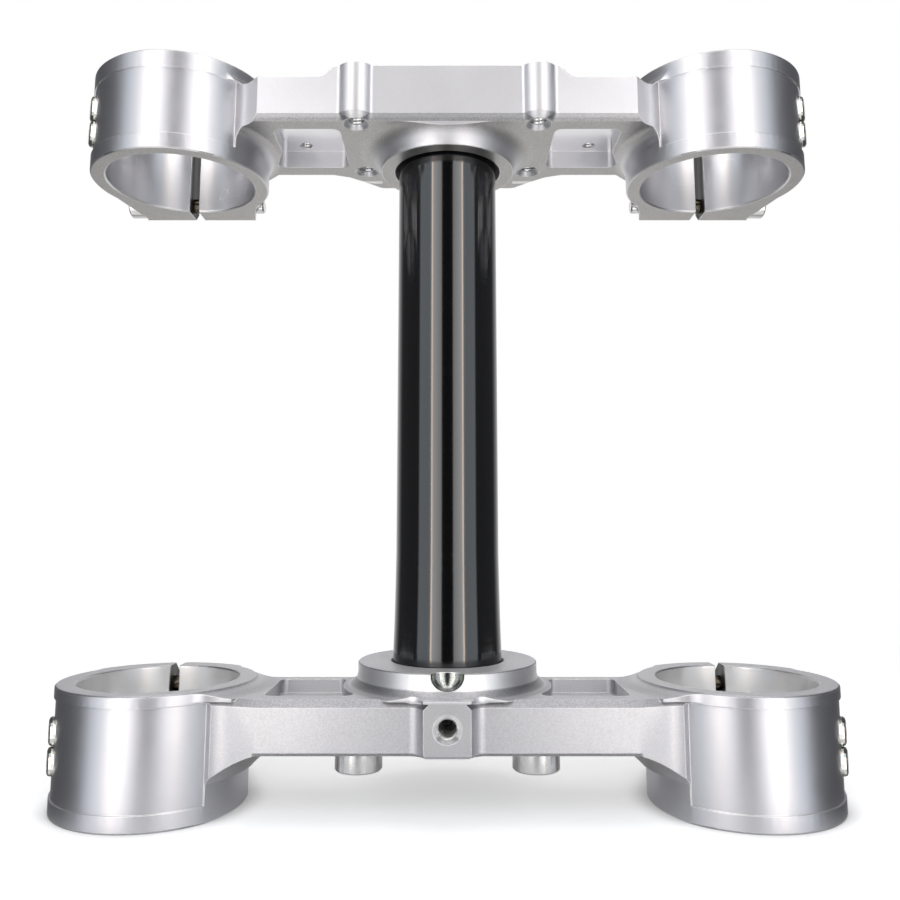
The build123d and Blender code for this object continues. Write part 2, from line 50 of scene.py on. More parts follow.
# Milled band round each ring: the ring's radius, the band's lowest and highest height, and the
# azimuth where it starts on the left-hand ring, in degrees from +X
BANDS = {"upper_clamp": (33.0 * MM, 232.3 * MM, 257.1 * MM, -39.0),
         "lower_clamp": (34.2 * MM, 5.5 * MM, 37.7 * MM, -45.0)}
BAND_END = -200.0
BAND_DEPTH = 0.6 * MM
BAND_STEPS = 80
CUTTER_OUT = 4.0 * MM           # how far a cutter stands out of its ring
CUTTER_DEEPER = 0.05 * MM       # a cutter goes this much past the band's wall and ends, so that
CUTTER_TALLER = 0.02 * MM       # no face of it lies in one of the solid's

# Stem collar of the lower clamp: (radius, height) along the patch that closes its front. The
# patch stands a hair proud of the solid, so that no two faces coincide.
PATCH_FOOT = [(20.9 * MM, 38.3 * MM), (33.0 * MM, 38.3 * MM), (33.0 * MM, 41.43 * MM)]
PATCH_COVE = (37.1 * MM, 44.3 * MM)
PATCH_COVE_R = 5.0 * MM
PATCH_COVE_ANGLES = (211, 205, 198, 192, 186, 180)
PATCH_HEAD = [(32.11 * MM, 47.2 * MM), (31.71 * MM, 47.605 * MM), (20.9 * MM, 47.605 * MM)]
PATCH_START = -114.0
PATCH_END = -66.0
PATCH_STEPS = 24

# Round-bottomed recess in the front of the collar: its centre and its half sizes
DIMPLE_AT = (0.0, -31.6 * MM, 46.9 * MM)
DIMPLE_SIZE = (5.5 * MM, 3.9 * MM, 4.9 * MM)

# Tapped holes: a thread's hole radius, ridge height and pitch, and where each hole's thread starts
THREAD_8 = (3.4 * MM, 0.42 * MM, 1.25 * MM)
THREAD_6 = (2.5 * MM, 0.35 * MM, 1.0 * MM)
BAR_HOLES = [(x * MM, y * MM, 240.8 * MM) for x in (-33.0, 33.0) for y in (-27.2, 13.4)]
BAR_THREAD_LENGTH = 17.5 * MM
POCKET_HOLES = [(x * MM, 4.4 * MM, 246.8 * MM) for x in (-56.5, 56.5)]
POCKET_THREAD_LENGTH = 8.0 * MM
FRONT_HOLE = (0.0, -34.0 * MM, 31.0 * MM)
FRONT_THREAD_LENGTH = 13.0 * MM

# Zones in which the clamps' finish, or the light and shade painted on them, differs. A zone is
# where all its tests hold: a measure that fades in from one value to another, or one that lies
# under or over a value.
UNDER = "LESS_THAN"
OVER = "GREATER_THAN"
IN_LOWER = ("z", UNDER, MIDDLE_Z)
IN_UPPER = ("z", OVER, MIDDLE_Z)
ROUND_RING = ("from_fork", 36.5 * MM, 35.0 * MM)
IN_BORE = ("from_fork", 28.0 * MM, 27.6 * MM)
UPRIGHT = ("tilt", 0.8, 0.3)
DOWNWARD = ("facing_up", -0.6, -0.95)
SLIT_REACH = SLIT_W / 2 + 0.03 * MM
SLIT_ZONE = [("across", OVER, SLIT_X - SLIT_REACH), ("across", UNDER, SLIT_X + SLIT_REACH),
             ("y", 24.6 * MM, 26.2 * MM)]
CLAMP_ZONES = {
    # Painted shade: the lower clamp's flats are painted a darker grey than the upper's, though both
    # have the same finish.
    "lower_clamp": [IN_LOWER],
    "turned": [ROUND_RING, UPRIGHT],
    "turning_lines": [("lines", 0.3, 0.7), ROUND_RING, UPRIGHT],
    # Painted light: the stem collar's upright wall is painted almost white.
    "collar": [UPRIGHT, IN_LOWER, ("z", 38.5 * MM, 40.0 * MM),
               ("from_stem", 40.0 * MM, 38.5 * MM)],
    # Painted shade: the lower clamp's faces that look up are painted darker.
    "lower_top_painted_shade": [IN_LOWER, ("facing_up", 0.93, 0.98)],
    # Painted highlight: the chamfer round the front hole is painted white.
    "front_hole_painted_highlight": [("from_front_hole", 4.74 * MM, 4.66 * MM), ("y", UNDER, -31.5 * MM)],
    "bores": [IN_BORE],
    # Painted light: the bores are painted brighter, the lower ones white.
    "upper_bores_painted_light": [IN_BORE, IN_UPPER],
    "lower_bores_painted_light": [IN_BORE, IN_LOWER],
    # Painted shade: bevels that face partly up are painted darker.
    "top_bevel_painted_shade": [("facing_up", 0.35, 0.5), ("facing_up", 0.93, 0.8)],
    # Painted reflection and shade: the round-bottomed recess in the collar is painted a dark
    # greenish grey.
    "dimple": [("z", UNDER, 47.45 * MM), ("z", OVER, 41.9 * MM),
               ("from_stem", UNDER, 31.75 * MM), ("from_stem", OVER, 24.0 * MM)],
    # Painted shade: the bevel under the front edge is painted darker.
    "under_bevel_painted_shade": [("facing_up", -0.4, -0.55), ("facing_up", -0.93, -0.8),
                    ("y", UNDER, -29.2 * MM), ("y", OVER, -32.0 * MM)],
    # Painted shade: faces that look down are painted a warmer, darker grey.
    "underside_painted_shade": [DOWNWARD],
    # Painted light: the ceilings of the pockets are painted nearly white.
    "pocket_ceiling_painted_light": [DOWNWARD, ("z", 240.0 * MM, 240.6 * MM)],
    "grain": [("grain", 0.3, 0.7)],
    "cloud": [("cloud", 0.25, 0.75)],
    # Painted shade: the walls of the pinch slits are painted dark grey.
    "slit": SLIT_ZONE,
}

# Tones of the clamps, laid over the upper flats' tone in this order, each in its zone. The turned
# walls, the grain's flecks and the bores' scratches have the metal's own tones; all the other
# zones carry painted light and shade.
UPPER_FLATS = "#E2E2E5"
CLAMP_TONES = [("lower_clamp", "#C8C8CB"), ("turned", "#D6D6DA"), ("collar", "#FCFCFD"),
               ("lower_top_painted_shade", "#B9B9BC"), ("front_hole_painted_highlight", "#FFFFFF"),
               ("upper_bores_painted_light", "#DCDCDF"), ("lower_bores_painted_light", "#FFFFFF"), ("top_bevel_painted_shade", "#A4A4A8"),
               ("dimple", "#8D918A"), ("under_bevel_painted_shade", "#96969A"), ("underside_painted_shade", "#A6A4A1"),
               ("pocket_ceiling_painted_light", "#F2F2F4"), ("fleck", "#EAEAED"), ("scratch", "#FFFFFF"),
               ("slit", "#3C3B3A"), ("painted_edge_highlight", "#FFFFFF")]

# Roughness of the blasted flats and the turned walls, and what each zone adds to it
BLASTED_ROUGH = 0.52
TURNED_ROUGH = 0.40
CLAMP_ROUGH = [("cloud", 0.04), ("turning_lines", 0.04), ("underside_painted_shade", -0.14),
               ("pocket_ceiling_painted_light", -0.2), ("dimple", -0.34), ("bores", -0.08)]

# Widths of marks in millimetres. The real grit and the feed of the turning are about 0.1 mm, and
# both are drawn coarser so that they show.
BLAST_GRAIN = 0.42
TURNING_LINES = 0.30
STEM_LINES = 0.35
SCRATCH_SPREAD = 22.0
CLOUD = 9.0

# What the metal mirrors, by azimuth in degrees from the front, the same on both sides, in linear
# light where 1 is white: a dark gap in the middle, a broad soft box that grows brighter outwards,
# a thin warm strip, a bluish soft box, the dark room, and a pale wall behind.
SURROUNDINGS = [(0.0, (0.02, 0.02, 0.02)), (11.5, (0.02, 0.02, 0.02)), (13.5, (1.5, 1.5, 1.52)),
                (30.0, (2.5, 2.5, 2.52)), (32.8, (2.6, 2.6, 2.6)), (33.3, (6.4, 5.3, 4.5)),
                (36.0, (6.4, 5.3, 4.5)), (36.6, (1.1, 1.18, 1.25)), (42.0, (0.9, 0.97, 1.04)),
                (64.0, (0.95, 1.02, 1.09)), (67.0, (0.09, 0.09, 0.095)),
                (125.0, (0.09, 0.09, 0.095)), (150.0, (0.8, 0.8, 0.8)), (180.0, (0.95, 0.95, 0.95))]
BRIGHTEST = 6.5
WALL_R = 0.85
WALL_LOW = -1.2
WALL_HIGH = 1.9
WALL_STEPS = 72
FLOOR_REACH = 4.0

# Upright soft lamps on each side: the azimuths that one covers, its brightness and its tint
LAMPS = {"front": (12.6, 36.0, 1.7, "#FFFFFF"), "side": (37.5, 66.0, 1.0, "#E2ECFF")}
LAMP_DISTANCE = 0.95
LAMP_LOW = 0.02
LAMP_HIGH = 1.2
FILL_LIGHT = 0.45

# The photograph's view: 31 cm in front of the stem, between the clamps, tilted slightly up
CAMERA_AT = (0.0, -0.3120, 0.09456)
CAMERA_TILT = 0.1353


def colour(code):
    """A hex colour as the linear values that a socket takes."""
    channels = [int(code[i:i + 2], 16) / 255 for i in (1, 3, 5)]
    linear = [c / 12.92 if c <= 0.04045 else ((c + 0.055) / 1.055) ** 2.4 for c in channels]
    return (*linear, 1.0)


def add(tree, kind, values=None, **settings):
    """A node with its settings. An input takes a value, a socket, or a node's first output."""
    made = tree.nodes.new(kind)
    for key, value in settings.items():
        setattr(made, key, value)
    for socket, value in (values or {}).items():
        if isinstance(value, bpy.types.Node):
            value = value.outputs[0]
        if isinstance(value, bpy.types.NodeSocket):
            tree.links.new(value, made.inputs[socket])
        else:
            made.inputs[socket].default_value = value
    return made


def new_material(name):
    """A material, its empty tree, and the object position that its patterns read."""
    material = bpy.data.materials.new(name)
    material.use_nodes = True
    tree = material.node_tree
    tree.nodes.clear()
    return material, tree, add(tree, "ShaderNodeTexCoord").outputs["Object"]


def marks(tree, where, size, detail=2.0, rough=0.5, stretch=(1.0, 1.0, 1.0)):
    """Uneven marks about size millimetres wide, drawn out along stretch."""
    drawn_out = add(tree, "ShaderNodeMapping", {"Vector": where, "Scale": stretch})
    pattern = add(tree, "ShaderNodeTexNoise",
                  {"Vector": drawn_out, "Scale": 1.0 / (size * MM), "Detail": detail,
                   "Roughness": rough})
    return pattern.outputs["Fac"]


def zone(tree, measures, tests):
    """Share from 0 to 1 of a surface where all the tests on its measures hold."""
    share = None
    for measure, first, second in tests:
        if first in (UNDER, OVER):
            held = add(tree, "ShaderNodeMath", {0: measures[measure], 1: second},
                       operation=first)
        else:
            held = add(tree, "ShaderNodeMapRange",
                       {"Value": measures[measure], "From Min": first, "From Max": second},
                       interpolation_type="SMOOTHSTEP")
        if share is None:
            share = held
        else:
            share = add(tree, "ShaderNodeMath", {0: share, 1: held}, operation="MULTIPLY")
    return share


def painted(tree, base, coats):
    """A tone with others laid over it in order, each as strongly as its share says."""
    for share, code in coats:
        coat = add(tree, "ShaderNodeMix", {"Factor": share, 6: base, 7: colour(code)},
                   data_type="RGBA")
        base = coat.outputs[2]
    return base


def bore_scratches(tree, where):
    """Thin curved scratches: the level lines of coarse marks, broken up by others."""
    level = marks(tree, where, SCRATCH_SPREAD, 3.0)
    breaks = marks(tree, where, SCRATCH_SPREAD * 0.7, 1.0)
    off_level = add(tree, "ShaderNodeMath", {0: level, 1: 0.5}, operation="SUBTRACT")
    near = add(tree, "ShaderNodeMath", {0: off_level}, operation="ABSOLUTE")
    return zone(tree, {"near": near, "breaks": breaks},
                [("near", 0.0025, 0.0), ("breaks", 0.56, 0.61)])


def upright_tangent(tree):
    """Direction in which turned walls draw reflections out: nearly straight up."""
    return add(tree, "ShaderNodeCombineXYZ", {"X": 0.0, "Y": 0.05, "Z": 1.0})


def clamp_measures(tree, where):
    """What the clamps' finish depends on: place, facing, and distance from the main axes."""
    facing = add(tree, "ShaderNodeNewGeometry").outputs["Normal"]
    at = add(tree, "ShaderNodeSeparateXYZ", {0: where}).outputs
    facing_up = add(tree, "ShaderNodeSeparateXYZ", {0: facing}).outputs["Z"]
    across = add(tree, "ShaderNodeMath", {0: at["X"]}, operation="ABSOLUTE")
    tilt = add(tree, "ShaderNodeMath", {0: facing_up}, operation="ABSOLUTE")
    measures = {"facing": facing, "y": at["Y"], "z": at["Z"], "across": across, "tilt": tilt,
                "facing_up": facing_up}
    for name, flat, axis in (
            ("from_stem", {"X": at["X"], "Y": at["Y"]}, (0.0, 0.0, 0.0)),
            ("from_fork", {"X": across, "Y": at["Y"]}, (RING_X, RING_Y, 0.0)),
            ("from_front_hole", {"X": at["X"], "Z": at["Z"]}, (0.0, 0.0, FRONT_HOLE[2]))):
        point = add(tree, "ShaderNodeCombineXYZ", flat)
        away = add(tree, "ShaderNodeVectorMath", {0: point, 1: axis}, operation="DISTANCE")
        measures[name] = away.outputs["Value"]
    return measures


# Aluminium 6000 series, milled from solid, fine bead-blasted on the arms' outer faces, turned
# on the rings and clear anodised. The eye gets a light cool grey; the turned walls draw every
# reflection out into soft upright bands and the flats have a faint grain. The undersides carry
# painted shade in a warmer, darker grey, and the edges carry a painted white highlight.
def clamp_metal():
    """Machined and blasted aluminium of both clamps."""
    material, tree, where = new_material("clear_anodised_machined_aluminium")
    measures = clamp_measures(tree, where)
    measures["grain"] = marks(tree, where, BLAST_GRAIN, 2.0, 0.6)
    measures["lines"] = marks(tree, where, TURNING_LINES, 1.0, 0.5, (0.02, 0.02, 1.0))
    measures["cloud"] = marks(tree, where, CLOUD, 3.0, 0.6)
    shares = {name: zone(tree, measures, tests) for name, tests in CLAMP_ZONES.items()}

    fleck = add(tree, "ShaderNodeMapRange",
                {"Value": shares["turned"], "To Min": 0.36, "To Max": 0.10},
                interpolation_type="SMOOTHSTEP")
    shares["fleck"] = add(tree, "ShaderNodeMath", {0: shares["grain"], 1: fleck},
                          operation="MULTIPLY")
    scratched = add(tree, "ShaderNodeMath", {0: bore_scratches(tree, where), 1: shares["bores"]},
                    operation="MULTIPLY")
    shares["scratch"] = add(tree, "ShaderNodeMath", {0: scratched, 1: 0.7}, operation="MULTIPLY")
    soft_edge = add(tree, "ShaderNodeBevel", {"Radius": 0.45 * MM}, samples=6)
    # Painted highlight: at edges, where the Bevel node's rounded normal turns away from the face's,
    # the tone is painted white.
    meet = add(tree, "ShaderNodeVectorMath", {0: soft_edge, 1: measures["facing"]},
               operation="DOT_PRODUCT").outputs["Value"]
    shares["painted_edge_highlight"] = add(tree, "ShaderNodeMapRange",
                              {"Value": meet, "From Min": 0.93, "From Max": 0.985,
                               "To Min": 0.75, "To Max": 0.0}, interpolation_type="SMOOTHSTEP")

    shade = painted(tree, colour(UPPER_FLATS),
                    [(shares[name], code) for name, code in CLAMP_TONES])
    rough = add(tree, "ShaderNodeMapRange",
                {"Value": shares["turned"], "To Min": BLASTED_ROUGH, "To Max": TURNED_ROUGH},
                interpolation_type="SMOOTHSTEP")
    for name, change in CLAMP_ROUGH:
        rough = add(tree, "ShaderNodeMath", {0: shares[name], 1: change, 2: rough},
                    operation="MULTIPLY_ADD")
    relief = add(tree, "ShaderNodeMix", {"Factor": shares["turned"], 2: measures["grain"], 3: 0.5},
                 data_type="FLOAT")
    relief = add(tree, "ShaderNodeMath", {0: scratched, 1: 1.2, 2: relief},
                 operation="MULTIPLY_ADD")
    bump = add(tree, "ShaderNodeBump", {"Height": relief, "Distance": 0.02 * MM,
                                        "Strength": 0.7, "Normal": soft_edge})
    shader = add(tree, "ShaderNodeBsdfPrincipled",
                 {"Base Color": shade, "Metallic": 1.0, "Roughness": rough, "Normal": bump,
                  "Anisotropic": 0.6, "Tangent": upright_tangent(tree)})
    add(tree, "ShaderNodeOutputMaterial", {"Surface": shader})
    return material


# Aluminium tube, fine turned and hard black anodised. The eye gets a deep black with sharp-sided
# upright reflections, drawn out lengthwise by the turning lines.
def stem_black():
    """Gloss black anodised tube."""
    material, tree, where = new_material("black_anodised_turned_tube")
    lines = marks(tree, where, STEM_LINES, 2.0, 0.6, (0.01, 0.01, 1.0))
    dusty = zone(tree, {"dust": marks(tree, where, 0.5, 1.0)}, [("dust", 0.72, 0.8)])
    rough = add(tree, "ShaderNodeMapRange",
                {"Value": lines, "From Min": 0.3, "From Max": 0.7, "To Min": 0.10,
                 "To Max": 0.15}, interpolation_type="SMOOTHSTEP")
    rough = add(tree, "ShaderNodeMath", {0: dusty, 1: 0.05, 2: rough}, operation="MULTIPLY_ADD")
    bump = add(tree, "ShaderNodeBump", {"Height": lines, "Distance": 0.01 * MM,
                                        "Strength": 0.12})
    shader = add(tree, "ShaderNodeBsdfPrincipled",
                 {"Base Color": colour("#08090A"), "Metallic": 0.0, "Roughness": rough,
                  "IOR": 1.9, "Anisotropic": 0.8, "Normal": bump,
                  "Tangent": upright_tangent(tree)})
    add(tree, "ShaderNodeOutputMaterial", {"Surface": shader})
    return material


# Steel of the screws, washer and nuts, cold formed and then finished. Zinc plating gives the eye
# a bright, slightly cloudy grey; bright plating is nearly a mirror; black oxide is dark and satin.
def finished_steel(name, shade, low, high):
    """One of the three steels, with its roughness between low and high."""
    material, tree, where = new_material(name)
    cloud = marks(tree, where, 2.5, 3.0, 0.6)
    fine = marks(tree, where, 0.3, 1.0)
    at = add(tree, "ShaderNodeSeparateXYZ", {0: where}).outputs
    across = add(tree, "ShaderNodeMath", {0: at["X"]}, operation="ABSOLUTE")
    # Painted shade: a screw is painted dark brown-grey where it crosses a pinch slit.
    painted_slit_shade = zone(tree, {"across": across, "y": at["Y"]}, SLIT_ZONE)
    rough = add(tree, "ShaderNodeMapRange",
                {"Value": cloud, "From Min": 0.3, "From Max": 0.7, "To Min": low,
                 "To Max": high}, interpolation_type="SMOOTHSTEP")
    dulled = add(tree, "ShaderNodeMapRange",
                 {"Value": cloud, "From Min": 0.4, "From Max": 0.8, "To Min": 0.0,
                  "To Max": 0.35}, interpolation_type="SMOOTHSTEP")
    tone = painted(tree, colour(shade), [(dulled, "#B9B7B3"), (painted_slit_shade, "#4A443C")])
    soft_edge = add(tree, "ShaderNodeBevel", {"Radius": 0.2 * MM}, samples=4)
    bump = add(tree, "ShaderNodeBump", {"Height": fine, "Distance": 0.01 * MM,
                                        "Strength": 0.3, "Normal": soft_edge})
    shader = add(tree, "ShaderNodeBsdfPrincipled",
                 {"Base Color": tone, "Metallic": 1.0, "Roughness": rough, "Normal": bump})
    add(tree, "ShaderNodeOutputMaterial", {"Surface": shader})
    return material


# Aluminium in the holes, freshly cut by a tap. The eye gets bright rings with a torn, slightly
# rough sheen.
def thread_metal():
    """Cut thread."""
    material, tree, where = new_material("cut_thread_aluminium")
    rough = add(tree, "ShaderNodeMapRange",
                {"Value": marks(tree, where, 0.4, 2.0), "From Min": 0.3, "From Max": 0.7,
                 "To Min": 0.14, "To Max": 0.26}, interpolation_type="SMOOTHSTEP")
    shader = add(tree, "ShaderNodeBsdfPrincipled",
                 {"Base Color": colour("#EEEEEC"), "Metallic": 1.0, "Roughness": rough})
    add(tree, "ShaderNodeOutputMaterial", {"Surface": shader})
    return material


# Painted board, matt white. The camera sees a soft shadow near the object, partly cast by the
# lamps and partly a painted contact shadow where ambient occlusion is low, which fades into the
# white backdrop, and reflections see the wall below the floor instead of the floor further out.
def stage_floor_finish():
    """White floor of the stage."""
    material, tree, where = new_material("matt_white_floor")
    distance = add(tree, "ShaderNodeVectorMath", {0: where}, operation="LENGTH").outputs["Value"]
    openness = add(tree, "ShaderNodeAmbientOcclusion", {"Distance": 14.0 * MM},
                   samples=12).outputs["AO"]
    measures = {"distance": distance, "openness": openness}
    # Painted contact shadow: where ambient occlusion finds the object close, the floor turns to a
    # dim glow instead of its lit white.
    free_of_painted_shadow = zone(tree, measures, [("openness", 0.2, 0.85)])
    far = zone(tree, measures, [("distance", 0.16, 0.55)])
    unmirrored = zone(tree, measures, [("distance", 0.10, 0.15)])
    matt = add(tree, "ShaderNodeBsdfDiffuse", {"Color": colour("#F4F4F4")})
    glow, dark, white = (add(tree, "ShaderNodeEmission",
                             {"Color": colour("#FFFFFF"), "Strength": strength})
                         for strength in (0.42, 0.2, 1.0))
    clear = add(tree, "ShaderNodeBsdfTransparent")
    near = add(tree, "ShaderNodeAddShader", {0: matt, 1: glow})
    near = add(tree, "ShaderNodeMixShader", {0: free_of_painted_shadow, 1: dark, 2: near})
    seen = add(tree, "ShaderNodeMixShader", {0: far, 1: near, 2: white})
    mirrored = add(tree, "ShaderNodeMixShader", {0: unmirrored, 1: matt, 2: clear})
    ray = add(tree, "ShaderNodeLightPath").outputs
    reflected = add(tree, "ShaderNodeMath",
                    {0: ray["Is Glossy Ray"], 1: ray["Is Transmission Ray"]}, operation="MAXIMUM")
    unseen = add(tree, "ShaderNodeMixShader", {0: reflected, 1: matt, 2: mirrored})
    floor = add(tree, "ShaderNodeMixShader", {0: ray["Is Camera Ray"], 1: unseen, 2: seen})
    add(tree, "ShaderNodeOutputMaterial", {"Surface": floor})
    return material


def surroundings():
    """Light of the studio, by the azimuth of a place on its wall."""
    material, tree, where = new_material("studio_wall")
    at = add(tree, "ShaderNodeSeparateXYZ", {0: where}).outputs
    across = add(tree, "ShaderNodeMath", {0: at["X"]}, operation="ABSOLUTE")
    forwards = add(tree, "ShaderNodeMath", {0: at["Y"], 1: -1.0}, operation="MULTIPLY")
    azimuth = add(tree, "ShaderNodeMath", {0: across, 1: forwards}, operation="ARCTAN2")
    share = add(tree, "ShaderNodeMath", {0: azimuth, 1: math.pi}, operation="DIVIDE")
    pattern = add(tree, "ShaderNodeValToRGB", {"Fac": share})
    stops = pattern.color_ramp.elements
    while len(stops) < len(SURROUNDINGS):
        stops.new(0.5)
    for stop, (angle, light) in zip(stops, SURROUNDINGS):
        stop.position = angle / 180
        stop.color = (*[c / BRIGHTEST for c in light], 1.0)
    glow = add(tree, "ShaderNodeEmission", {"Color": pattern, "Strength": BRIGHTEST})
    add(tree, "ShaderNodeOutputMaterial", {"Surface": glow})
    return material


def new_object(name, data):
    """An object at the origin, in the scene."""
    made = bpy.data.objects.new(name, data)
    bpy.context.scene.collection.objects.link(made)
    return made


def finished_mesh(piece):
    """A plain mesh of what a piece's modifiers make."""
    bpy.context.view_layer.update()
    seen = piece.evaluated_get(bpy.context.evaluated_depsgraph_get())
    return bpy.data.meshes.new_from_object(seen)


def thread_tree():
    """Node tree of one cut thread: a ridge that winds along Z inside a hole."""
    tree = bpy.data.node_groups.new("cut_thread", "GeometryNodeTree")
    face = tree.interface
    for name, value in zip(("Hole radius", "Ridge height", "Pitch", "Length"),
                           (*THREAD_8, BAR_THREAD_LENGTH)):
        socket = face.new_socket(name, in_out="INPUT", socket_type="NodeSocketFloat")
        socket.default_value = value
    face.new_socket("Finish", in_out="INPUT", socket_type="NodeSocketMaterial")
    face.new_socket("Thread", in_out="OUTPUT", socket_type="NodeSocketGeometry")
    given = add(tree, "NodeGroupInput").outputs
    turns = add(tree, "ShaderNodeMath", {0: given["Length"], 1: given["Pitch"]},
                operation="DIVIDE")
    radius = given["Hole radius"]
    path = add(tree, "GeometryNodeCurveSpiral",
               {"Resolution": 28, "Rotations": turns, "Start Radius": radius,
                "End Radius": radius, "Height": given["Length"]})
    path = add(tree, "GeometryNodeSetCurveNormal", {"Curve": path}, mode="Z_UP")
    ridge = add(tree, "GeometryNodeCurvePrimitiveCircle",
                {"Resolution": 4, "Radius": given["Ridge height"]}, mode="RADIUS")
    solid = add(tree, "GeometryNodeCurveToMesh",
                {"Curve": path, "Profile Curve": ridge, "Fill Caps": True})
    flat = add(tree, "GeometryNodeSetShadeSmooth", {"Geometry": solid, "Shade Smooth": False})
    real = add(tree, "GeometryNodeRealizeInstances", {"Geometry": flat})
    done = add(tree, "GeometryNodeSetMaterial", {"Geometry": real, "Material": given["Finish"]})
    add(tree, "NodeGroupOutput", {"Thread": done})
    return tree


def socket_of(tree, name):
    """Identifier of a tree's named input."""
    for item in tree.interface.items_tree:
        if item.item_type == "SOCKET" and item.in_out == "INPUT" and item.name == name:
            return item.identifier
    raise KeyError(name)


def cut_threads(name, tree, finish, holes):
    """One piece with a thread in each hole: (thread, length, place in the part)."""
    joined = bmesh.new()
    for (radius, ridge, pitch), length, where in holes:
        maker = new_object(name + "_maker", bpy.data.meshes.new(name + "_maker"))
        modifier = maker.modifiers.new("thread", "NODES")
        modifier.node_group = tree
        for key, value in (("Hole radius", radius), ("Ridge height", ridge), ("Pitch", pitch),
                           ("Length", length), ("Finish", finish)):
            modifier[socket_of(tree, key)] = value
        mesh = finished_mesh(maker)
        mesh.transform(where)
        joined.from_mesh(mesh)
        bpy.data.objects.remove(maker)
    mesh = bpy.data.meshes.new(name)
    joined.to_mesh(mesh)
    joined.free()
    mesh.materials.append(finish)
    piece = new_object(name, mesh)
    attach(piece, "root")


def spread(start, end, steps):
    """Angles in radians, evenly from start to end, which are in degrees."""
    return [math.radians(start + (end - start) * i / steps) for i in range(steps + 1)]


def add_sweep(points, faces, sections):
    """A closed solid added to points and faces: a row of like outlines, each joined to the next."""
    first = len(points)
    count = len(sections[0])
    for section in sections:
        points += section
    for i in range(len(sections) - 1):
        near, far = first + count * i, first + count * (i + 1)
        for k in range(count):
            following = (k + 1) % count
            faces.append((near + k, near + following, far + following, far + k))
    last = first + count * (len(sections) - 1)
    faces.append(tuple(first + k for k in range(count)))
    faces.append(tuple(last + k for k in range(count)))


def add_dimple(points, faces):
    """Round-bottomed recess in the front of the stem collar, added to a cutter."""
    ball = bmesh.new()
    bmesh.ops.create_uvsphere(ball, u_segments=56, v_segments=36, radius=1.0)
    first = len(points)
    for v in ball.verts:
        points.append(tuple(DIMPLE_AT[i] + v.co[i] * DIMPLE_SIZE[i] for i in range(3)))
    for f in ball.faces:
        faces.append(tuple(first + v.index for v in f.verts))
    ball.free()


def closed_solid(name, points, faces):
    """A helper solid with its faces turned outwards."""
    mesh = bpy.data.meshes.new(name)
    mesh.from_pydata(points, [], faces)
    sorted_out = bmesh.new()
    sorted_out.from_mesh(mesh)
    bmesh.ops.recalc_face_normals(sorted_out, faces=sorted_out.faces)
    sorted_out.to_mesh(mesh)
    sorted_out.free()
    return new_object(name, mesh)


def band_cutters(name):
    """Closed cutters of one clamp's milled bands, left and right, and of the lower one's recess."""
    radius, low, high, start = BANDS[name]
    inner = radius - BAND_DEPTH - CUTTER_DEEPER
    outer = radius + CUTTER_OUT
    low -= CUTTER_TALLER
    high += CUTTER_TALLER
    outline = [(inner, low), (outer, low), (outer, high), (inner, high)]
    points = []
    faces = []
    for side in (-1, 1):
        add_sweep(points, faces,
                  [[(-side * (r * math.cos(a) - RING_X), RING_Y + r * math.sin(a), z)
                    for r, z in outline] for a in spread(start, BAND_END, BAND_STEPS)])
    if name == "lower_clamp":
        add_dimple(points, faces)
    return closed_solid(name + "_cutters", points, faces)


def collar_patch():
    """Sector of the stem collar that closes its front again before the recess is cut."""
    cove = [(PATCH_COVE[0] + PATCH_COVE_R * math.cos(math.radians(a)),
             PATCH_COVE[1] + PATCH_COVE_R * math.sin(math.radians(a)))
            for a in PATCH_COVE_ANGLES]
    outline = PATCH_FOOT + cove + PATCH_HEAD
    points = []
    faces = []
    add_sweep(points, faces, [[(r * math.cos(a), r * math.sin(a), z) for r, z in outline]
                              for a in spread(PATCH_START, PATCH_END, PATCH_STEPS)])
    return closed_solid("collar_patch", points, faces)


def banded(name, finish):
    """A clamp whose milled bands run on round the rings, across the arm's root."""
    joined = bmesh.new()
    joined.from_mesh(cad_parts[name].data)
    bmesh.ops.remove_doubles(joined, verts=joined.verts, dist=0.0005 * MM)
    mesh = bpy.data.meshes.new(name + "_banded")
    joined.to_mesh(mesh)
    joined.free()
    for layer in ("custom_normal", "sharp_face", "sharp_edge"):
        if layer in mesh.attributes:
            mesh.attributes.remove(mesh.attributes[layer])
    piece = new_object(name + "_banded", mesh)
    helpers = [("DIFFERENCE", band_cutters(name))]
    if name == "lower_clamp":
        helpers.insert(0, ("UNION", collar_patch()))
    for operation, solid in helpers:
        modifier = piece.modifiers.new(solid.name, "BOOLEAN")
        modifier.object = solid
        modifier.operation = operation
        modifier.solver = "EXACT"
    done = finished_mesh(piece)
    piece.modifiers.clear()
    piece.data = done
    for operation, solid in helpers:
        bpy.data.objects.remove(solid)
    done.shade_smooth()
    done.set_sharp_from_angle(angle=math.radians(24))
    done.materials.clear()
    done.materials.append(finish)
    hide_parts(name)
    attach(piece, "root")


def round_about(azimuth, distance, z):
    """A place at an azimuth in degrees, turned from the front towards the right."""
    a = math.radians(azimuth)
    return Vector((distance * math.sin(a), -distance * math.cos(a), z))


def soft_lamp(name, centre, aim, width, height, glow, tint="#FFFFFF"):
    """Rectangular studio lamp; glow is how bright it would show in a mirror, where 1 is white."""
    lamp = bpy.data.lights.new(name, "AREA")
    lamp.shape = "RECTANGLE"
    lamp.size = width
    lamp.size_y = height
    lamp.energy = glow * math.pi * width * height
    lamp.color = colour(tint)[:3]
    holder = new_object(name, lamp)
    holder.location = centre
    holder.rotation_euler = (Vector(aim) - Vector(centre)).to_track_quat("-Z", "Y").to_euler()
    holder.visible_camera = False
    return holder


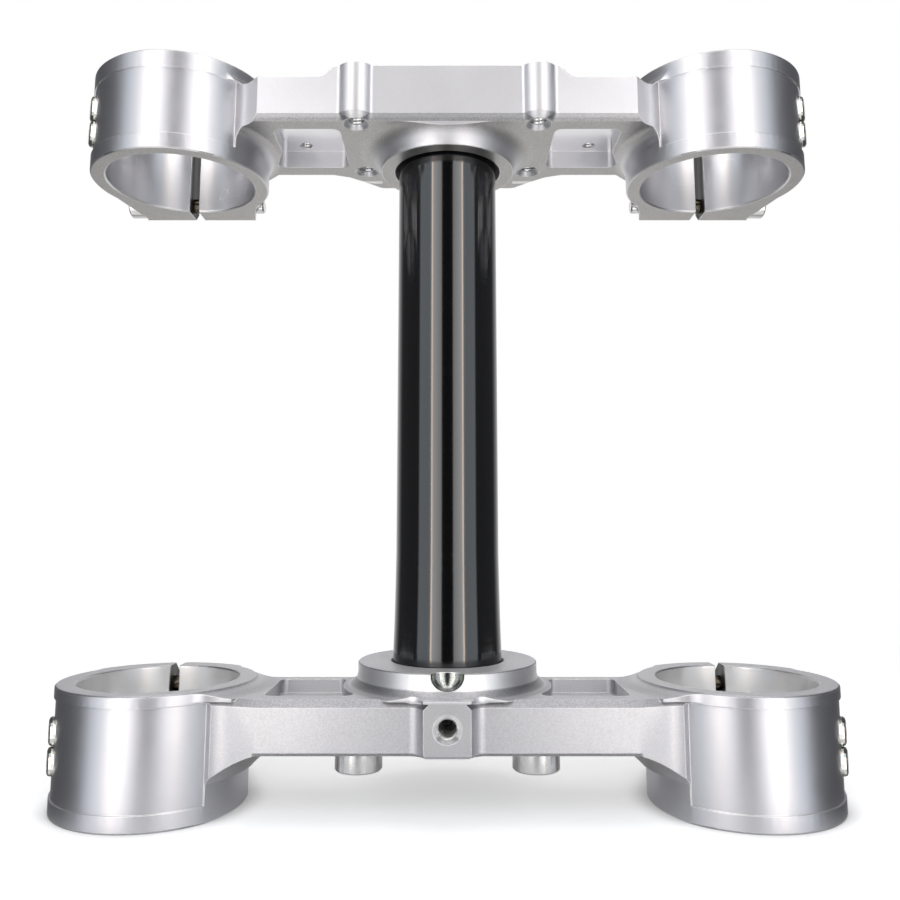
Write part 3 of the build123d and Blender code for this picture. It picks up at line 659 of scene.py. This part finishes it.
def upright_lamp(name, side, start, end, glow, tint):
    """Upright soft lamp that covers the azimuths from start to end and isn't mirrored itself."""
    width = 2 * LAMP_DISTANCE * math.tan(math.radians((end - start) / 2))
    middle = (LAMP_LOW + LAMP_HIGH) / 2
    centre = round_about(side * (start + end) / 2, LAMP_DISTANCE, middle)
    lamp = soft_lamp(name, centre, (0, 0, middle), width, LAMP_HIGH - LAMP_LOW, glow, tint)
    lamp.visible_glossy = False


def studio_wall():
    """Upright round wall of the studio that only reflections see, down past the floor."""
    points = []
    faces = []
    for i in range(WALL_STEPS):
        azimuth = 360 * i / WALL_STEPS
        points += [round_about(azimuth, WALL_R, WALL_LOW), round_about(azimuth, WALL_R, WALL_HIGH)]
        following = (i + 1) % WALL_STEPS
        faces.append((2 * i, 2 * following, 2 * following + 1, 2 * i + 1))
    mesh = bpy.data.meshes.new("studio_wall")
    mesh.from_pydata(points, [], faces)
    mesh.materials.append(surroundings())
    wall = new_object("studio_wall", mesh)
    wall.visible_camera = False
    wall.visible_diffuse = False
    wall.visible_shadow = False


def set_stage():
    """Floor, round wall and lamps."""
    mesh = bpy.data.meshes.new("floor")
    corners = [(-1, -1), (1, -1), (1, 1), (-1, 1)]
    mesh.from_pydata([(x * FLOOR_REACH, y * FLOOR_REACH, 0) for x, y in corners], [],
                     [(0, 1, 2, 3)])
    mesh.materials.append(stage_floor_finish())
    new_object("floor", mesh)
    studio_wall()
    for side, hand in ((-1, "left"), (1, "right")):
        for place, (start, end, glow, tint) in LAMPS.items():
            upright_lamp(place + "_" + hand, side, start, end, glow, tint)
    soft_lamp("top", (0.0, -0.1, 1.3), (0, 0, 0), 1.0, 0.8, 1.1)


def set_world():
    """White backdrop for the camera and for reflections, plain grey light for the rest."""
    world = bpy.data.worlds.new("studio")
    bpy.context.scene.world = world
    world.use_nodes = True
    tree = world.node_tree
    tree.nodes.clear()
    ray = add(tree, "ShaderNodeLightPath").outputs
    mirrored = add(tree, "ShaderNodeMath",
                   {0: ray["Is Glossy Ray"], 1: ray["Is Transmission Ray"]}, operation="MAXIMUM")
    direct = add(tree, "ShaderNodeMath", {0: ray["Is Camera Ray"], 1: mirrored},
                 operation="MAXIMUM")
    fill, white = (add(tree, "ShaderNodeBackground",
                       {"Color": colour("#FFFFFF"), "Strength": strength})
                   for strength in (FILL_LIGHT, 1.0))
    mix = add(tree, "ShaderNodeMixShader", {0: direct, 1: fill, 2: white})
    add(tree, "ShaderNodeOutputWorld", {"Surface": mix})


def set_camera():
    """Camera at the photograph's place."""
    view = bpy.data.cameras.new("camera")
    view.sensor_width = 36.0
    view.lens = 33.394
    view.shift_x = 0.0029
    view.shift_y = -0.0390
    view.clip_start = 0.01
    view.clip_end = 20.0
    camera = new_object("camera", view)
    camera.location = CAMERA_AT
    camera.rotation_euler = (math.pi / 2 + CAMERA_TILT, 0.0, 0.0)
    bpy.context.scene.camera = camera


def dress():
    """Finishes for the machined pieces, the banded clamps, and the threads cut in their holes."""
    clamps = clamp_metal()
    oxide = finished_steel("black_oxide_steel", "#2B2B2D", 0.25, 0.4)
    bright = finished_steel("bright_plated_steel", "#D3D1CC", 0.06, 0.14)
    zinc = finished_steel("zinc_plated_steel", "#DAD9D8", 0.14, 0.24)
    finishes = {"upper_clamp": clamps, "lower_clamp": clamps, "steering_stem": stem_black(),
                "stem_washer": oxide, "stem_nut": oxide}
    for name, piece in list(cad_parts.items()):
        finish = finishes.get(name, bright if name.startswith("side_screw") else zinc)
        if name in BANDS:
            banded(name, finish)
        for slot in piece.material_slots:
            slot.material = finish
    tree = thread_tree()
    cut = thread_metal()
    upper = [(THREAD_8, BAR_THREAD_LENGTH, Matrix.Translation(at)) for at in BAR_HOLES]
    upper += [(THREAD_6, POCKET_THREAD_LENGTH, Matrix.Translation(at)) for at in POCKET_HOLES]
    cut_threads("upper_threads", tree, cut, upper)
    inwards = Matrix.Translation(FRONT_HOLE) @ Matrix.Rotation(-math.pi / 2, 4, "X")
    cut_threads("lower_threads", tree, cut, [(THREAD_8, FRONT_THREAD_LENGTH, inwards)])


def main():
    bpy.context.scene.view_settings.view_transform = "Standard"
    set_world()
    set_camera()
    set_stage()
    dress()
    bpy.context.view_layer.update()


main()
